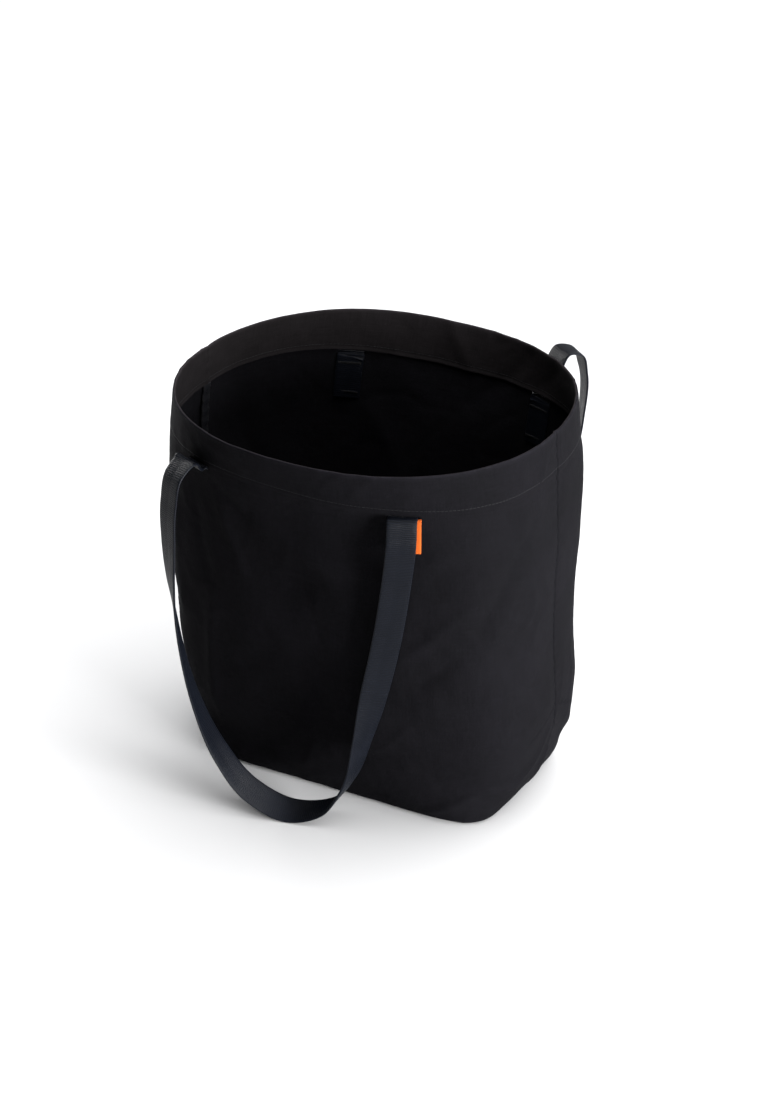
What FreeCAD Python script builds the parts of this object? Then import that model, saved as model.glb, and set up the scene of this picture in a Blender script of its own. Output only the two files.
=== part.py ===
"""Foldable tote bag: two canvas panels with boxed corners, a rim facing and two webbing handles.

Frame: +X along the front face, -Y to the front, +Z up.  The origin is the centre of the
base, on the surface that the bag stands on.  All sizes are in millimetres.
"""

import FreeCAD, Part
import Sketcher
import math
import os

from FreeCAD import Placement, Rotation, Vector

doc = FreeCAD.newDocument("foldable_tote_bag")

# ---------------------------------------------------------------- driving sizes
SIZES = [
    ("height", 371, "floor to rim"),
    ("cloth", 1.2, "thickness of the canvas"),
    ("base_width", 290, "foot print along X"),
    ("base_depth", 170, "foot print along Y"),
    ("base_round", 32, "corner of the foot print in plan"),
    ("low_level", 45, "height of the low section, over the boxed corners"),
    ("low_width", 340, ""),
    ("low_depth", 196, ""),
    ("low_round", 72, ""),
    ("middle_level", 111, "height of the middle section"),
    ("middle_width", 358, ""),
    ("middle_depth", 215, ""),
    ("middle_round", 84, ""),
    ("belly_level", 223, "height of the widest section"),
    ("belly_width", 364, ""),
    ("belly_depth", 240, ""),
    ("belly_round", 97, ""),
    ("upper_level", 300, "height of the section under the rim band"),
    ("upper_width", 362, ""),
    ("upper_depth", 266, ""),
    ("upper_round", 116, ""),
    ("rim_width", 348, "mouth along X"),
    ("rim_depth", 320, "mouth along Y"),
    ("rim_round", 150, ""),
    ("least_flat", 10, "shortest straight run beside a section's corner, on each half side"),
    ("face_width", 236, "flat-folding face between the two soft sides"),
    ("front_crease", 100, "height of the crease across the front face"),
    ("body_gap", 0.5, "free space between pieces that move apart"),
    ("facing_height", 38, "turned-in band round the mouth"),
    ("facing_cloth", 1.2, "thickness of that band"),
    ("webbing_width", 25, "handle webbing"),
    ("webbing_thickness", 2, "handle webbing"),
    ("handle_spacing", 198, "between the middles of one handle's two slots"),
    ("slot_drop", 41, "rim to the middle of a slot"),
    ("slot_play", 1, "slot larger than the webbing, on each side"),
    ("stub_show", 1.5, "webbing that stands out of a slot before the swinging loop"),
    ("hinge_standoff", 9, "wall to the line a handle swings about"),
    ("floor_clearance", 1.5, "lowest edge of a hanging handle over the floor"),
    ("tail_length", 42, "webbing sewn down inside, below its slot"),
    ("bartack_length", 20, ""),
    ("bartack_width", 1.8, ""),
    ("bartack_height", 0.8, ""),
    ("upper_tack", 6, "slot to the upper bartack, downwards"),
    ("lower_tack", 34, "slot to the lower bartack, downwards"),
    ("tag_height", 31, "folded orange tag beside one handle end"),
    ("tag_thickness", 1.6, ""),
    ("tag_gap", 1.2, "wall to the tag"),
    ("tag_show", 4.5, "part of the tag past the webbing's edge"),
    ("tag_hidden", 7, "part of the tag behind the webbing"),
    ("binding_width", 12, "tape over the raw seam edges inside"),
    ("binding_thickness", 1.2, ""),
    ("binding_gap", 0.2, "free space between a tape and the next tape or band"),
    ("corner_seam_level", 92, "height of the short seam across a boxed corner"),
    ("corner_seam_width", 96, "length of that seam"),
]

sheet = doc.addObject("Spreadsheet::Sheet", "sizes")
for row, (alias, value, meaning) in enumerate(SIZES, start=1):
    sheet.set(f"A{row}", alias)
    sheet.set(f"B{row}", str(value))
    sheet.set(f"C{row}", meaning)
    sheet.setAlias(f"B{row}", alias)
doc.recompute()


def size(alias):
    """A driving size, as the sheet holds it."""
    return float(sheet.get(alias))


# ---------------------------------------------------------------- helpers
LEVELS = {"base": "0 mm", "low": "low_level", "middle": "middle_level",
          "belly": "belly_level", "upper": "upper_level", "rim": "height"}
nodes = []


def cell(expression):
    """Sheet names in an expression, each with the sheet in front."""
    words = expression.split(" ")
    known = {alias for alias, _, _ in SIZES}
    return " ".join(f"sizes.{w}" if w in known else w for w in words)


def node(item, name):
    """Marks an object as a sub-part; its label is the name of its file."""
    item.Label = name
    nodes.append(item)
    return item


def rounded_sketch(name, level, inset):
    """A rounded rectangle round the Z axis: the bag's section at a level, moved inwards by inset."""
    sketch = doc.addObject("Sketcher::SketchObject", name)
    wide, deep = size(f"{level}_width") / 2, size(f"{level}_depth") / 2
    turn = min(size(f"{level}_round"), wide - size("least_flat"), deep - size("least_flat"))
    corners = [(1, -1), (1, 1), (-1, 1), (-1, -1)]
    starts = [-90, 0, 90, 180]
    for (sx, sy), begin in zip(corners, starts):
        centre = Vector(sx * (wide - turn), sy * (deep - turn), 0)
        circle = Part.Circle(centre, Vector(0, 0, 1), turn)
        sketch.addGeometry(Part.ArcOfCircle(circle, math.radians(begin), math.radians(begin + 90)))
    for i in range(4):
        one, two = sketch.Geometry[i], sketch.Geometry[(i + 1) % 4]
        sketch.addGeometry(Part.LineSegment(one.EndPoint, two.StartPoint))
    Rule = Sketcher.Constraint
    for i in range(4):
        sketch.addConstraint(Rule("Tangent", i, 2, 4 + i, 1))
        sketch.addConstraint(Rule("Tangent", 4 + i, 2, (i + 1) % 4, 1))
    for i in range(1, 4):
        sketch.addConstraint(Rule("Equal", 0, i))
    sketch.addConstraint(Rule("Vertical", 6))
    sketch.addConstraint(Rule("Horizontal", 7))
    sketch.addConstraint(Rule("Symmetric", 4, 1, 4, 2, -1))
    sketch.addConstraint(Rule("Symmetric", 5, 1, 5, 2, -2))
    for rule, place, alias in (("DistanceX", (-1, 1, 4, 1), "width"),
                               ("DistanceY", (-1, 1, 5, 1), "depth")):
        reach = size(f"{level}_{alias}") / 2
        at = sketch.addConstraint(Rule(rule, *place, reach))
        sketch.renameConstraint(at, alias)
        sketch.setExpression(f"Constraints.{alias}", cell(f"{level}_{alias} / 2 - ( {inset} )"))
    at = sketch.addConstraint(Rule("Radius", 0, turn))
    sketch.renameConstraint(at, "turn")
    limits = (f"{level}_round", f"{level}_width / 2 - least_flat", f"{level}_depth / 2 - least_flat")
    sketch.setExpression("Constraints.turn", cell(f"min( {' ; '.join(limits)} ) - ( {inset} )"))
    sketch.setExpression("Placement.Base.z", cell(LEVELS[level]))
    return sketch


def bag_form(name, inset):
    """The solid inside the bag's outline, moved inwards by inset: a loft through its sections."""
    loft = doc.addObject("Part::Loft", name)
    loft.Sections = [rounded_sketch(f"{name}_{level}", level, inset) for level in LEVELS]
    loft.Solid = True
    loft.Ruled = False
    return loft


def cut(name, base, tool):
    item = doc.addObject("Part::Cut", name)
    item.Base, item.Tool = base, tool
    return item


def common(name, one, two):
    item = doc.addObject("Part::Common", name)
    item.Base, item.Tool = one, two
    return item


def block(name, x, y, z):
    """A box between two expressions along each axis."""
    item = doc.addObject("Part::Box", name)
    for side, (low, high), axis in (("Length", x, "x"), ("Width", y, "y"), ("Height", z, "z")):
        item.setExpression(side, cell(f"( {high} ) - ( {low} )"))
        item.setExpression(f"Placement.Base.{axis}", cell(f"1 mm * ( {low} )"))
    return item


def zone(name, shell, x, y, z):
    """The sub-part that a shell leaves inside a box."""
    return node(common(f"{name}_zone", shell, block(f"{name}_box", x, y, z)), name)


# ---------------------------------------------------------------- forms and shells
outside = bag_form("outside", "0")
inside = bag_form("inside", "cloth")
inside_facing = bag_form("inside_facing", "cloth + facing_cloth")
inside_webbing = bag_form("inside_webbing", "cloth + webbing_thickness")
inside_binding = bag_form("inside_binding", "cloth + binding_thickness")
doc.recompute()

panel_shell = cut("panel_shell", outside, inside)
facing_shell = cut("facing_shell", inside, inside_facing)
tail_shell = cut("tail_shell", inside, inside_webbing)
binding_shell = cut("binding_shell", inside, inside_binding)

HALF_FACE = "face_width / 2"
PAST_FACE = "face_width / 2 + body_gap"
FAR = "belly_width"
UNDER_FACING = "height - facing_height - binding_gap"
ACROSS = (f"0 - {HALF_FACE}", HALF_FACE)
SIDES = {"left": (f"0 - {FAR}", f"0 - ( {PAST_FACE} )"), "right": (PAST_FACE, FAR)}
FRONT, BACK = (f"0 - {FAR}", "0"), ("0", FAR)


# ---------------------------------------------------------------- slots
def wall_point(form, x, z, toward):
    """Where a line along Y at x and z meets a form, on its front (-1) or back (1)."""
    reach = size("rim_depth")
    ray = Part.makeLine(Vector(x, 0, z), Vector(x, toward * reach, z))
    return max((v.Point for v in form.Shape.common(ray).Vertexes), key=lambda p: toward * p.y)


def wall_frame(x, toward):
    """A slot's place on the outside: its middle and the outward direction of the wall in plan."""
    z = size("height") - size("slot_drop")
    step = 1.0
    middle = wall_point(outside, x, z, toward)
    along = wall_point(outside, x + step, z, toward) - wall_point(outside, x - step, z, toward)
    normal = Vector(along.y, -along.x, 0) * -toward
    return middle, normal.normalize()


def turned_box(name, middle, normal, across, through, tall):
    """A box with given reaches across, along the normal and upwards, set on a wall's normal."""
    item = doc.addObject("Part::Box", name)
    item.Length, item.Width, item.Height = (b - a for a, b in (across, through, tall))
    turn = Rotation(Vector(0, 0, 1), math.degrees(math.atan2(-normal.x, normal.y)))
    start = turn.multVec(Vector(across[0], through[0], tall[0]))
    item.Placement = Placement(middle + start, turn)
    return item


half_spacing = size("handle_spacing") / 2
half_web, web = size("webbing_width") / 2, size("webbing_thickness")
play, standoff = size("slot_play"), size("hinge_standoff")
SLOTS = {
    ("front", "left"): wall_frame(-half_spacing, -1),
    ("front", "right"): wall_frame(half_spacing, -1),
    ("back", "left"): wall_frame(-half_spacing, 1),
    ("back", "right"): wall_frame(half_spacing, 1),
}
cutters = [
    turned_box(f"{face}_{side}_slot", middle, normal, (-half_web - play, half_web + play),
               (-4 * size("cloth"), 4 * size("cloth")), (-web / 2 - play, web / 2 + play))
    for (face, side), (middle, normal) in SLOTS.items()
]
slots = doc.addObject("Part::MultiFuse", "slots")
slots.Shapes = cutters
slotted_shell = cut("slotted_shell", panel_shell, slots)

# ---------------------------------------------------------------- canvas
CREASE_UNDER = "front_crease - body_gap / 2"
CREASE_OVER = "front_crease + body_gap / 2"
zone("front_panel_lower", slotted_shell, ACROSS, FRONT, ("0", CREASE_UNDER))
zone("front_panel_upper", slotted_shell, ACROSS, FRONT, (CREASE_OVER, "height"))
zone("back_panel", slotted_shell, ACROSS, BACK, ("0", "height"))
for side, reach in SIDES.items():
    zone(f"front_panel_{side}_wing", panel_shell, reach, FRONT, ("0", "height"))
    zone(f"back_panel_{side}_wing", panel_shell, reach, BACK, ("0", "height"))

# the base lies inside the walls, with room to fold up at its middle
floor_sketch = rounded_sketch("floor_outline", "base", "cloth + body_gap")
floor_cloth = doc.addObject("Part::Extrusion", "floor_cloth")
floor_cloth.Base = floor_sketch
floor_cloth.DirMode = "Custom"
floor_cloth.Dir = Vector(0, 0, 1)
floor_cloth.Solid = True
floor_cloth.setExpression("LengthFwd", cell("cloth"))
zone("base_front", floor_cloth, (f"0 - {FAR}", FAR), (f"0 - {FAR}", "0 - body_gap / 2"), ("0", "cloth"))
zone("base_rear", floor_cloth, (f"0 - {FAR}", FAR), ("body_gap / 2", FAR), ("0", "cloth"))

# ---------------------------------------------------------------- facing round the mouth
BAND = ("height - facing_height", "height")
zone("front_facing", facing_shell, ACROSS, FRONT, BAND)
zone("back_facing", facing_shell, ACROSS, BACK, BAND)
for side, reach in SIDES.items():
    zone(f"{side}_facing", facing_shell, reach, (f"0 - {FAR}", FAR), BAND)

# ---------------------------------------------------------------- tapes over the seams inside
TAPE = ("0 - binding_width / 2", "binding_width / 2")
for side, reach in SIDES.items():
    zone(f"{side}_seam_tape", binding_shell, reach, TAPE,
         ("corner_seam_level + binding_width / 2 + binding_gap", UNDER_FACING))
    zone(f"{side}_corner_tape", binding_shell, reach,
         ("0 - corner_seam_width / 2", "corner_seam_width / 2"),
         ("corner_seam_level - binding_width / 2", "corner_seam_level + binding_width / 2"))
node(block("base_seam_tape_box",
           ("0 - base_width / 2 + base_round", "base_width / 2 - base_round"),
           ("body_gap / 2", "binding_width"), ("cloth", "cloth + binding_thickness")), "base_seam_tape")


# ---------------------------------------------------------------- webbing
def fuse(name, pieces):
    item = doc.addObject("Part::MultiFuse", name)
    item.Shapes = pieces
    return item


half_tack = size("bartack_length") / 2
tack_rows = (size("upper_tack"), size("lower_tack"))
for face in ("front", "back"):
    tacks = []
    for side in ("left", "right"):
        middle, normal = SLOTS[face, side]
        deep = size("cloth") + web
        stub = turned_box(f"{face}_{side}_stub", middle, normal, (-half_web, half_web),
                          (-deep, size("stub_show")), (-web / 2, web / 2))
        window = turned_box(f"{face}_{side}_tail_window", middle, normal, (-half_web, half_web),
                            (-8 * deep, 8 * deep), (-size("tail_length"), web / 2))
        strip = common(f"{face}_{side}_strip", tail_shell, window)
        node(fuse(f"{face}_{side}_tail_fused", [strip, stub]), f"{face}_handle_{side}_tail")
        for row in tack_rows:
            low = middle - Vector(0, 0, row)
            wall = wall_point(inside_webbing, low.x, low.z, 1 if face == "back" else -1)
            tacks.append(turned_box(f"{face}_{side}_tack_{row:.0f}", wall, normal, (-half_tack, half_tack),
                                    (-size("bartack_height"), 0), (0, size("bartack_width"))))
    group = doc.addObject("Part::Compound", f"{face}_tack_group")
    group.Links = tacks
    node(group, f"{face}_bartacks")

middle, normal = SLOTS["front", "right"]
tag_reach = (-half_web - size("tag_show"), -half_web + size("tag_hidden"))
tag_depth = (size("tag_gap"), size("tag_gap") + size("tag_thickness"))
node(turned_box("tag_box", middle, normal, tag_reach, tag_depth,
                (-size("tag_height") - web, -web)), "tag_loop")

# A hanging handle from its left slot, past its lowest point, to its right slot: how far each
# station lies along X as a share of its end's, how far out from the line it swings about, how
# far down as a share of its drop, and the heading of the webbing's width.
ROUTE = [
    (-1.00, 0, 0.000, 0),
    (-1.02, 2, 0.050, -20),
    (-1.05, 6, 0.115, -32),
    (-1.07, 14, 0.205, -50),
    (-1.05, 21, 0.320, -60),
    (-0.98, 25, 0.460, -62),
    (-0.88, 24, 0.600, -68),
    (-0.73, 19, 0.740, -74),
    (-0.55, 11, 0.865, -80),
    (-0.32, 3, 0.955, -86),
    (-0.08, -3, 0.993, -92),
    (0.14, -7, 0.985, -94),
    (0.33, -10, 0.930, -92),
    (0.47, -13, 0.845, -92),
    (0.59, -15, 0.720, -108),
    (0.69, -15, 0.580, -138),
    (0.80, -12, 0.400, -156),
    (0.89, -8, 0.215, -160),
    (0.96, -3, 0.080, -168),
    (1.00, 0, 0.000, -180),
]
TILT = 18  # degrees that the lowest stretch leans, its outer edge down


def handle_end():
    """Where the front handle's right end starts, on the line that the handle swings about."""
    middle, normal = SLOTS["front", "right"]
    return middle + normal * standoff


def handle_sections():
    """The rectangular sections of the front handle, each square to the route."""
    end = handle_end()
    drop = end.z - size("floor_clearance") - half_web * math.sin(math.radians(TILT)) - web / 2
    points = [Vector(share * end.x, end.y - out, end.z - down * drop) for share, out, down, _ in ROUTE]
    wires = []
    for i, (point, (_, _, _, heading)) in enumerate(zip(points, ROUTE)):
        along = points[min(i + 1, len(points) - 1)] - points[max(i - 1, 0)]
        if i in (0, len(points) - 1):
            along = Vector(0, 0, 1 if i else -1)
        along.normalize()
        level = abs(along.x) * math.sin(math.radians(TILT))
        wide = Vector(math.cos(math.radians(heading)), math.sin(math.radians(heading)), -level)
        wide = (wide - along * wide.dot(along)).normalize() * half_web
        thick = along.cross(wide).normalize() * (web / 2)
        ring = [point + wide + thick, point + wide - thick, point - wide - thick, point - wide + thick]
        wires.append(Part.makePolygon(ring + ring[:1]))
    return wires


front_handle = doc.addObject("Part::Feature", "front_handle_loop")
front_handle.Shape = Part.makeLoft(handle_sections(), True, True)
node(front_handle, "front_handle")
back_handle = doc.addObject("Part::Feature", "back_handle_loop")
back_handle.Shape = front_handle.Shape.copy()
back_handle.Placement = Placement(Vector(), Rotation(Vector(0, 0, 1), 180))
node(back_handle, "back_handle")

# ---------------------------------------------------------------- check and write
doc.recompute()
for item in doc.Objects:
    if {"Invalid", "Error"} & set(item.State):
        raise RuntimeError(f"{item.Name} failed: {item.State}")
for item in nodes:
    shape = item.Shape
    if shape.isNull() or not shape.isValid() or shape.Volume <= 0:
        raise RuntimeError(f"{item.Label} has no valid solid")
    print(f"{item.Label}: {len(shape.Solids)} solid, {shape.Volume / 1000:.2f} cm3")

os.makedirs("parts", exist_ok=True)
for item in nodes:
    item.Shape.exportStep(os.path.join("parts", f"{item.Label}.step"))
print("handle swing line y", round(handle_end().y, 3), "z", round(handle_end().z, 3))
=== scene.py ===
"""A foldable tote bag: canvas walls, a turned-in band round the mouth, sewn trims and two handles
of webbing.

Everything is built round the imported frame, in metres: +Z up, the front face towards -Y. The
walls are one surface of levels, counted up from the floor, and columns, counted round the bag:
0 is the left side seam, 1 the right side seam (past the front) and 2 the left seam again (past
the back). Every trim takes its place from that surface.
"""

import math

import bpy
import numpy as np
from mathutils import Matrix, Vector


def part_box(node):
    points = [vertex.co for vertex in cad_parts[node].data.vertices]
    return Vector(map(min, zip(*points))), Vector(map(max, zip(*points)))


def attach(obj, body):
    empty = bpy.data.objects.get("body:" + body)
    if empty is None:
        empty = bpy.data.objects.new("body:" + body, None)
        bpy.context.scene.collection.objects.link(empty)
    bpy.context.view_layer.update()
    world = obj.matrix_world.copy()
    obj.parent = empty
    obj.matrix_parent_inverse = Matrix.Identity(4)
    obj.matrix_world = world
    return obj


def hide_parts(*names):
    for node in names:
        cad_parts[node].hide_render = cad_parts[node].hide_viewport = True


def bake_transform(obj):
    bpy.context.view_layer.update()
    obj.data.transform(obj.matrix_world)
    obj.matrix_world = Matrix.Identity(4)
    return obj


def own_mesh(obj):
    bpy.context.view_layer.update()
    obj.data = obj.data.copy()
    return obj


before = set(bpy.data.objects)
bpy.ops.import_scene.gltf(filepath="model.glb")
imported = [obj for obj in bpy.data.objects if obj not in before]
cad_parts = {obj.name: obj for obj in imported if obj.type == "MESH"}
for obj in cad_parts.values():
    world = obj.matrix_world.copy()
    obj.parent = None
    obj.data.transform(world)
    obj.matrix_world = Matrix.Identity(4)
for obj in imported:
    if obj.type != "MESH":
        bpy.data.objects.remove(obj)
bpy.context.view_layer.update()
MM = 0.001

# ---------------------------------------------------------------- sizes
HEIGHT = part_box("back_panel")[1].z
HALF_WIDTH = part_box("front_panel_right_wing")[1].x
HALF_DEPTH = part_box("back_panel")[1].y
BAND_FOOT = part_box("back_facing")[0].z
TAPE_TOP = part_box("right_seam_tape")[1].z
CORNER_LEVEL = (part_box("right_corner_tape")[0].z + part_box("right_corner_tape")[1].z) / 2
CORNER_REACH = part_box("right_corner_tape")[1].y
BASE_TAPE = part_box("base_seam_tape")
WEBBING = 25 * MM
WEBBING_THICK = 2 * MM
CLOTH = 1.0 * MM
SLOT_REACH = 99 * MM
SLOT_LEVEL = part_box("front_handle_right_tail")[1].z - WEBBING_THICK / 2
SLOT_TALL = 2.4 * MM
SLOT_WIDE = WEBBING - 0.6 * MM
HEM_LEVEL = BAND_FOOT + 4.5 * MM
FOLD_ROUND = 1.3 * MM      # radius of the fold along the rim
FOOT_ROUND = 4.5 * MM      # radius of the fold along the base
TAIL_DROP = 42 * MM
PANEL_RUN = 0.49           # width of one panel at its middle, seam to seam
RIM_TURN = HEIGHT - FOLD_ROUND      # where the wall begins to turn over the rim
RUBBED = 2.2 * MM          # how far below the rim the canvas is rubbed pale
HELD_HALF_WIDTH = 17 * MM  # the cloth that a sewn webbing end holds flat
HELD_HALF_HEIGHT = 30 * MM
HELD_DROP = 20 * MM        # from the slot down to the middle of that cloth
SEAM_HALF_WIDTH = 1.1 * MM
CORNER_RISE = 12 * MM      # how much higher a corner seam is at the side seam than its level
CORNER_SLOPE = 0.5
LOW_LEAN = 0.04            # how far the lowest cloth leans back, as a share of X
LEAN_TOP = 95 * MM         # the level where that lean has died away
RIM_SLACK = 80 * MM        # how far down from the rim its rise and dip reach
TAPE = (12 * MM, 1.1 * MM, 0.05 * MM)      # binding tape: width, thickness, height of a rib
STRAP_RIB = 0.16 * MM
UP = np.array([0, 0, 1.0])

# The wall's sections: level as a share of the height, reach to the right, to the left and to the
# front as shares of the frame's, and how square the section is (2 is an ellipse).
SECTIONS = np.array([
    (0.000, 0.818, 0.766, 0.522, 7.5),
    (0.054, 0.900, 0.852, 0.566, 4.2),
    (0.202, 0.988, 0.982, 0.650, 3.2),
    (0.485, 0.978, 1.005, 0.724, 3.1),
    (0.809, 0.984, 1.000, 0.831, 2.7),
    (1.000, 0.956, 0.956, 1.000, 2.2),
])

FOLD_DEPTH = 1.25          # multiplies the height of every fold below

# Soft folds of the filled cloth: the points that each runs through, its height and its half
# width, in millimetres. A height below zero is a hollow.
FOLDS = [
    ([(148, -92, 205), (165, -72, 255), (176, -44, 305)], -1.8, 9),
    ([(158, -82, 196), (174, -56, 255)], 1.0, 7),
    ([(-96, -126, 322), (-76, -120, 270), (-62, -117, 222)], 1.7, 8),
    ([(-88, -128, 322), (-52, -124, 282)], -1.6, 8),
    ([(-108, -122, 320), (-112, -110, 262), (-104, -106, 200)], -1.8, 10),
    ([(-128, -104, 300), (-146, -88, 230), (-150, -84, 150)], 1.8, 13),
    ([(104, -122, 283), (138, -101, 294), (166, -68, 302)], 1.4, 11),
    ([(112, -118, 268), (142, -98, 276)], -1.2, 9),
    ([(98, -90, 9), (121, -90, 19), (146, -79, 35), (157, -66, 36), (168, -40, 33)], 2.4, 4.5),
    ([(128, -86, 8), (148, -72, 17), (164, -44, 16)], -2.0, 8),
    ([(176, -6, 88), (172, -24, 60), (166, -42, 36)], 1.8, 5),
    ([(22, -112, 320), (28, -118, 240), (40, -112, 160), (44, -98, 70)], 3.8, 42),
    ([(-50, -126, 290), (10, -126, 268), (70, -124, 262), (96, -122, 274)], 1.7, 13),
    ([(84, -120, 176), (118, -112, 208), (150, -92, 246)], 1.3, 7),
    ([(100, -112, 150), (134, -98, 186)], -1.1, 8),
    ([(-100, -100, 200), (-112, -92, 120), (-110, -84, 40)], 2.6, 12),
    ([(60, -88, 14), (96, -84, 12)], 1.2, 5),
    ([(181, 0, 84), (176, -8, 50), (166, -16, 20)], 2.4, 6),
    ([(-60, -116, 250), (-20, -120, 232), (24, -118, 246)], -2.2, 22),
    ([(-40, -112, 170), (10, -114, 186)], 1.8, 24),
    ([(-80, -104, 120), (-40, -108, 150)], -1.4, 18),
    ([(40, -108, 130), (90, -104, 150), (130, -92, 190)], -1.3, 18),
    ([(30, -104, 80), (100, -98, 96)], 1.2, 16),
    ([(-160, -60, 300), (-172, -40, 220), (-170, -44, 120)], -1.8, 12),
    ([(-172, -20, 96), (-160, -42, 50), (-142, -60, 16)], 2.0, 8),
    ([(-95, -90, 14), (-50, -90, 9)], 1.6, 6),
    ([(20, 134, 300), (60, 128, 340), (80, 140, 371)], 1.6, 9),
    ([(-10, 152, 371), (24, 140, 330)], -1.8, 9),
    ([(90, 128, 330), (118, 122, 366)], 1.8, 9),
    ([(-90, 118, 300), (-40, 116, 220), (-50, 108, 120)], -2.0, 16),
    ([(90, 118, 310), (60, 114, 240), (90, 106, 150)], 1.8, 16),
    ([(150, 70, 300), (160, 66, 200), (150, 60, 110)], -1.8, 13),
    ([(-160, 50, 280), (-150, 66, 180)], 1.6, 13),
    ([(172, 20, 96), (160, 44, 50), (140, 62, 16)], 2.0, 8),
    ([(-172, 20, 96), (-160, 42, 50), (-142, 60, 16)], 2.0, 8),
]


# ---------------------------------------------------------------- curves
def ease(share):
    """0 to 1 with level ends: 3 s^2 - 2 s^3 of the share kept within 0 and 1."""
    s = np.clip(share, 0, 1)
    return s * s * (3 - 2 * s)


def flow(at, knots, values):
    """A smooth curve through values at knots: cubic Hermite spans, each knot's slope being the
    straight slope between its two neighbours."""
    at, knots, values = np.asarray(at, float), np.asarray(knots, float), np.asarray(values, float)
    flat = values.reshape(len(knots), -1)
    slope = np.gradient(flat, knots, axis=0)
    i = np.clip(np.searchsorted(knots, at, side="right") - 1, 0, len(knots) - 2)
    run = (knots[i + 1] - knots[i])[..., None]
    s = (at - knots[i])[..., None] / run
    start, stop = flat[i], flat[i + 1]
    curve = (start * (1 + 2 * s) * (1 - s) ** 2 + stop * s * s * (3 - 2 * s)
             + run * slope[i] * s * (1 - s) ** 2 - run * slope[i + 1] * s * s * (1 - s))
    return curve.reshape(at.shape + values.shape[1:])


def graded(length, coarse, spots):
    """Places from 0 to length, coarse apart, closing to a finer step round each spot.

    A spot is (place, fine, reach). The count of places up to a point is the sum of 1 / step.
    """
    dense = np.linspace(0, length, 6001)
    step = np.full(dense.shape, float(coarse))
    for place, fine, reach in spots:
        nearness = ease(2 - 2 * np.abs(dense - place) / reach)
        step = np.minimum(step, coarse + (fine - coarse) * nearness)
    count = np.concatenate([[0], np.cumsum(np.diff(dense) * 2 / (step[1:] + step[:-1]))])
    steps = int(round(count[-1]))
    return np.interp(np.linspace(0, count[-1], steps + 1), count, dense)


def with_marks(places, marks):
    """The places with marks put exactly in, instead of the place nearest to each."""
    places = places.copy()
    for mark in marks:
        places[np.abs(places - mark).argmin()] = mark
    return places


def run_along(line):
    """How far along a line each of its points lies."""
    return np.concatenate([[0], np.cumsum(np.linalg.norm(np.diff(line, axis=0), axis=1))])


def directions(line):
    """The unit direction of a line at each of its points."""
    way = np.gradient(line, axis=0)
    return way / np.linalg.norm(way, axis=1, keepdims=True)


def read_off(at, run, values):
    """Three-part values known at the places of run, read off at other places."""
    return np.stack([np.interp(at, run, values[:, k]) for k in range(3)], -1)


def resampled(line, values, step):
    """A line and the values along it, at even steps of about the step asked for."""
    run = run_along(line)
    at = np.linspace(0, run[-1], int(run[-1] / step) + 1)
    return read_off(at, run, line), read_off(at, run, values)


# ---------------------------------------------------------------- the wall surface
def outline(levels, columns):
    """Points and outward normals of the smooth wall, for each level and column.

    A section is a superellipse, |x/a|^n + |y/b|^n = 1, whose a is the reach to the left or
    right. Each half, seam to seam, is spaced evenly along its length, so that a column stays on
    the same threads of the cloth. The normal is the slope of the superellipse's left side.
    """
    right, left, deep, square = flow(levels / HEIGHT, SECTIONS[:, 0], SECTIONS[:, 1:]).T
    right, left, deep = right * HALF_WIDTH, left * HALF_WIDTH, deep * HALF_DEPTH
    turn = np.linspace(math.pi, 2 * math.pi, 3001)
    points, normals = [], []
    for a_right, a_left, b, n in zip(right, left, deep, square):
        c, s = np.cos(turn), np.sin(turn)
        c[0], c[-1], s[0], s[-1] = -1, 1, 0, 0
        reach = np.where(c > 0, a_right, a_left)
        x = reach * np.sign(c) * np.abs(c) ** (2 / n)
        y = -b * np.abs(s) ** (2 / n)
        length = np.concatenate([[0], np.cumsum(np.hypot(np.diff(x), np.diff(y)))])
        share = np.where(columns <= 1, columns, 2 - columns)
        at_x = np.interp(share * length[-1], length, x)
        at_y = np.interp(share * length[-1], length, y) * np.where(columns <= 1, 1, -1)
        reach = np.where(at_x > 0, a_right, a_left)
        slope_x = np.sign(at_x) * np.abs(at_x / reach) ** (n - 1) / reach
        slope_y = np.sign(at_y) * np.abs(at_y / b) ** (n - 1) / b
        size = np.hypot(slope_x, slope_y)
        points.append(np.stack([at_x, at_y], -1))
        normals.append(np.stack([slope_x / size, slope_y / size], -1))
    return np.array(points), np.array(normals)


def distance(points, path):
    """Each point's distance from a path of straight runs, and how far along the path, 0 to 1, its
    nearest place lies."""
    runs = np.linalg.norm(np.diff(path, axis=0), axis=1)
    starts = np.concatenate([[0], np.cumsum(runs)])
    best, along = np.full(points.shape[:-1], np.inf), np.zeros(points.shape[:-1])
    for a, b, start, run in zip(path, path[1:], starts, runs):
        share = np.clip(((points - a) @ (b - a)) / run ** 2, 0, 1)
        away = np.linalg.norm(points - a - share[..., None] * (b - a), axis=-1)
        along = np.where(away < best, (start + share * run) / starts[-1], along)
        best = np.minimum(best, away)
    return best, along


def along_wall(path):
    """A path of points in millimetres, filled in between them and moved to the nearest places of
    the smooth wall at their levels."""
    path = np.asarray(path, float) * MM
    fine = flow(np.linspace(0, len(path) - 1, 6 * len(path)), np.arange(len(path)), path)
    flat, _ = outline(fine[:, 2], np.linspace(0, 2, 1201))
    nearest = np.linalg.norm(flat - fine[:, None, :2], axis=-1).argmin(1)
    return np.column_stack([flat[np.arange(len(fine)), nearest], fine[:, 2]])


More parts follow.
